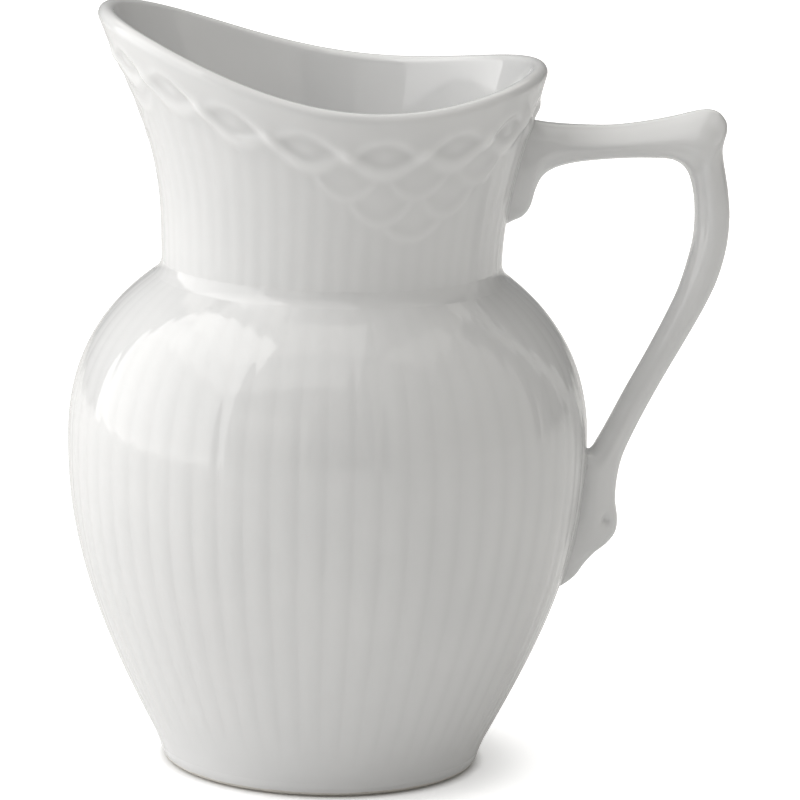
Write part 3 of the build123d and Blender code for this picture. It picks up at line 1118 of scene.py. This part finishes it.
def build_stage():
    """Plain pale floor that glows for the camera only, less near the foot as a painted shadow and a painted contact
    shadow.
    """
    mesh = bpy.data.meshes.new("floor")
    corners = [(x * FLOOR_HALF, y * FLOOR_HALF, 0) for x, y in ((-1, -1), (1, -1), (1, 1), (-1, 1))]
    mesh.from_pydata(corners, [], [(0, 1, 2, 3)])
    floor = bpy.data.objects.new("floor", mesh)
    bpy.context.scene.collection.objects.link(floor)
    material, tree, shader, place = new_material("pale_floor")
    away = add(tree, "ShaderNodeVectorMath", "Value", {0: place}, operation="LENGTH")
    # Painted shadow round the foot and painted contact shadow: the camera-only glow is weaker there
    spread = map_range(tree, away, PAINTED_SHADOW_SPAN, (PAINTED_SHADOW_GLOW, FLOOR_GLOW), "SMOOTHSTEP")
    glow_with_painted_shadow = math_node(tree, "MULTIPLY", spread, map_range(tree, away, PAINTED_CONTACT_SHADOW_SPAN))
    seen = add(tree, "ShaderNodeLightPath", "Is Camera Ray", {})
    feed(tree, shader, {
        "Base Color": ramp(tree, noise(tree, place, FLOOR_SCALE), *FLOOR_STOPS),
        "Emission Strength": math_node(tree, "MULTIPLY", seen, glow_with_painted_shadow),
        **FLOOR_SHADER,
    })
    floor.data.materials.append(material)


def softbox(name, place, width, height, radiance, colour):
    """Rectangular light of an even radiance, facing down and hidden from the camera."""
    data = bpy.data.lights.new(name, "AREA")
    data.shape = "RECTANGLE"
    data.size, data.size_y = width, height
    data.energy = radiance * math.pi * width * height
    data.color = colour
    light = bpy.data.objects.new(name, data)
    light.location = place
    light.visible_camera = False
    bpy.context.scene.collection.objects.link(light)
    return light


def panel(name, facing, distance, left, right, low, high, radiance, colour):
    """Upright softbox. It faces the axis from an azimuth (0 = camera side, 90 = handle side) at a distance, and
    spans left to right, towards growing azimuth, and low to high above the floor."""
    a = math.radians(facing)
    toward = Vector((math.sin(a), -math.cos(a), 0))
    across = Vector((math.cos(a), math.sin(a), 0))
    place = toward * distance + across * (left + right) / 2 + Vector((0, 0, (low + high) / 2))
    light = softbox(name, place, right - left, high - low, radiance, colour)
    light.rotation_mode = "QUATERNION"
    light.rotation_quaternion = (-toward).to_track_quat("-Z", "Y")


def build_world():
    """White surround for the camera; for light, dim in front and brighter behind."""
    world = bpy.data.worlds.new("studio")
    bpy.context.scene.world = world
    world.use_nodes = True
    tree = world.node_tree
    tree.nodes.clear()
    direction = add(tree, "ShaderNodeTexCoord", "Generated", {})
    behind = add(tree, "ShaderNodeVectorMath", "Value", {0: direction, 1: BACK}, operation="DOT_PRODUCT")
    tone = map_range(tree, behind, BACK_SPAN, (SURROUND, BACK_SURROUND), "SMOOTHSTEP")
    surround = add(tree, "ShaderNodeBackground", "Background", {"Color": tone, "Strength": 1.0})
    seen = add(tree, "ShaderNodeBackground", "Background", {"Color": (1, 1, 1, 1), "Strength": SEEN_STRENGTH})
    camera_ray = add(tree, "ShaderNodeLightPath", "Is Camera Ray", {})
    mix = add(tree, "ShaderNodeMixShader", "Shader", {0: camera_ray, 1: surround, 2: seen})
    tree.links.new(mix, tree.nodes.new("ShaderNodeOutputWorld").inputs["Surface"])


def build_camera():
    """Long lens a little above the rim, rolled slightly, aimed so that the pitcher sits left of centre."""
    elevation, roll = math.radians(CAMERA_ELEVATION), math.radians(CAMERA_ROLL)
    place = Vector((0, -CAMERA_DISTANCE * math.cos(elevation), AIM_HEIGHT + CAMERA_DISTANCE * math.sin(elevation)))
    forward = Vector((0, math.cos(elevation), -math.sin(elevation)))
    right, up = Vector((1, 0, 0)), Vector((0, math.sin(elevation), math.cos(elevation)))
    across = right * math.cos(roll) + up * math.sin(roll)
    above = -right * math.sin(roll) + up * math.cos(roll)
    pan_across = (FRAME_PIXELS / 2 - AIM_PIXELS[0]) / FOCAL_PIXELS
    pan_up = (AIM_PIXELS[1] - FRAME_PIXELS / 2) / FOCAL_PIXELS
    forward = (forward + across * pan_across + above * pan_up).normalized()
    across = (across - forward * across.dot(forward)).normalized()
    above = across.cross(forward)
    data = bpy.data.cameras.new("camera")
    data.sensor_width = SENSOR_WIDTH
    data.lens = FOCAL_PIXELS / FRAME_PIXELS * SENSOR_WIDTH
    data.clip_start, data.clip_end = CAMERA_CLIP
    camera = bpy.data.objects.new("camera", data)
    turn = Matrix((across, above, -forward)).transposed()
    camera.matrix_world = Matrix.Translation(place * MM) @ turn.to_4x4()
    bpy.context.scene.collection.objects.link(camera)
    bpy.context.scene.camera = camera


build_stage()
build_world()
for name, setting in PANELS.items():
    panel(name, *setting)
for name, setting in OVERHEADS.items():
    softbox(name, *setting)
build_camera()
bpy.context.scene.view_settings.view_transform = "Standard"
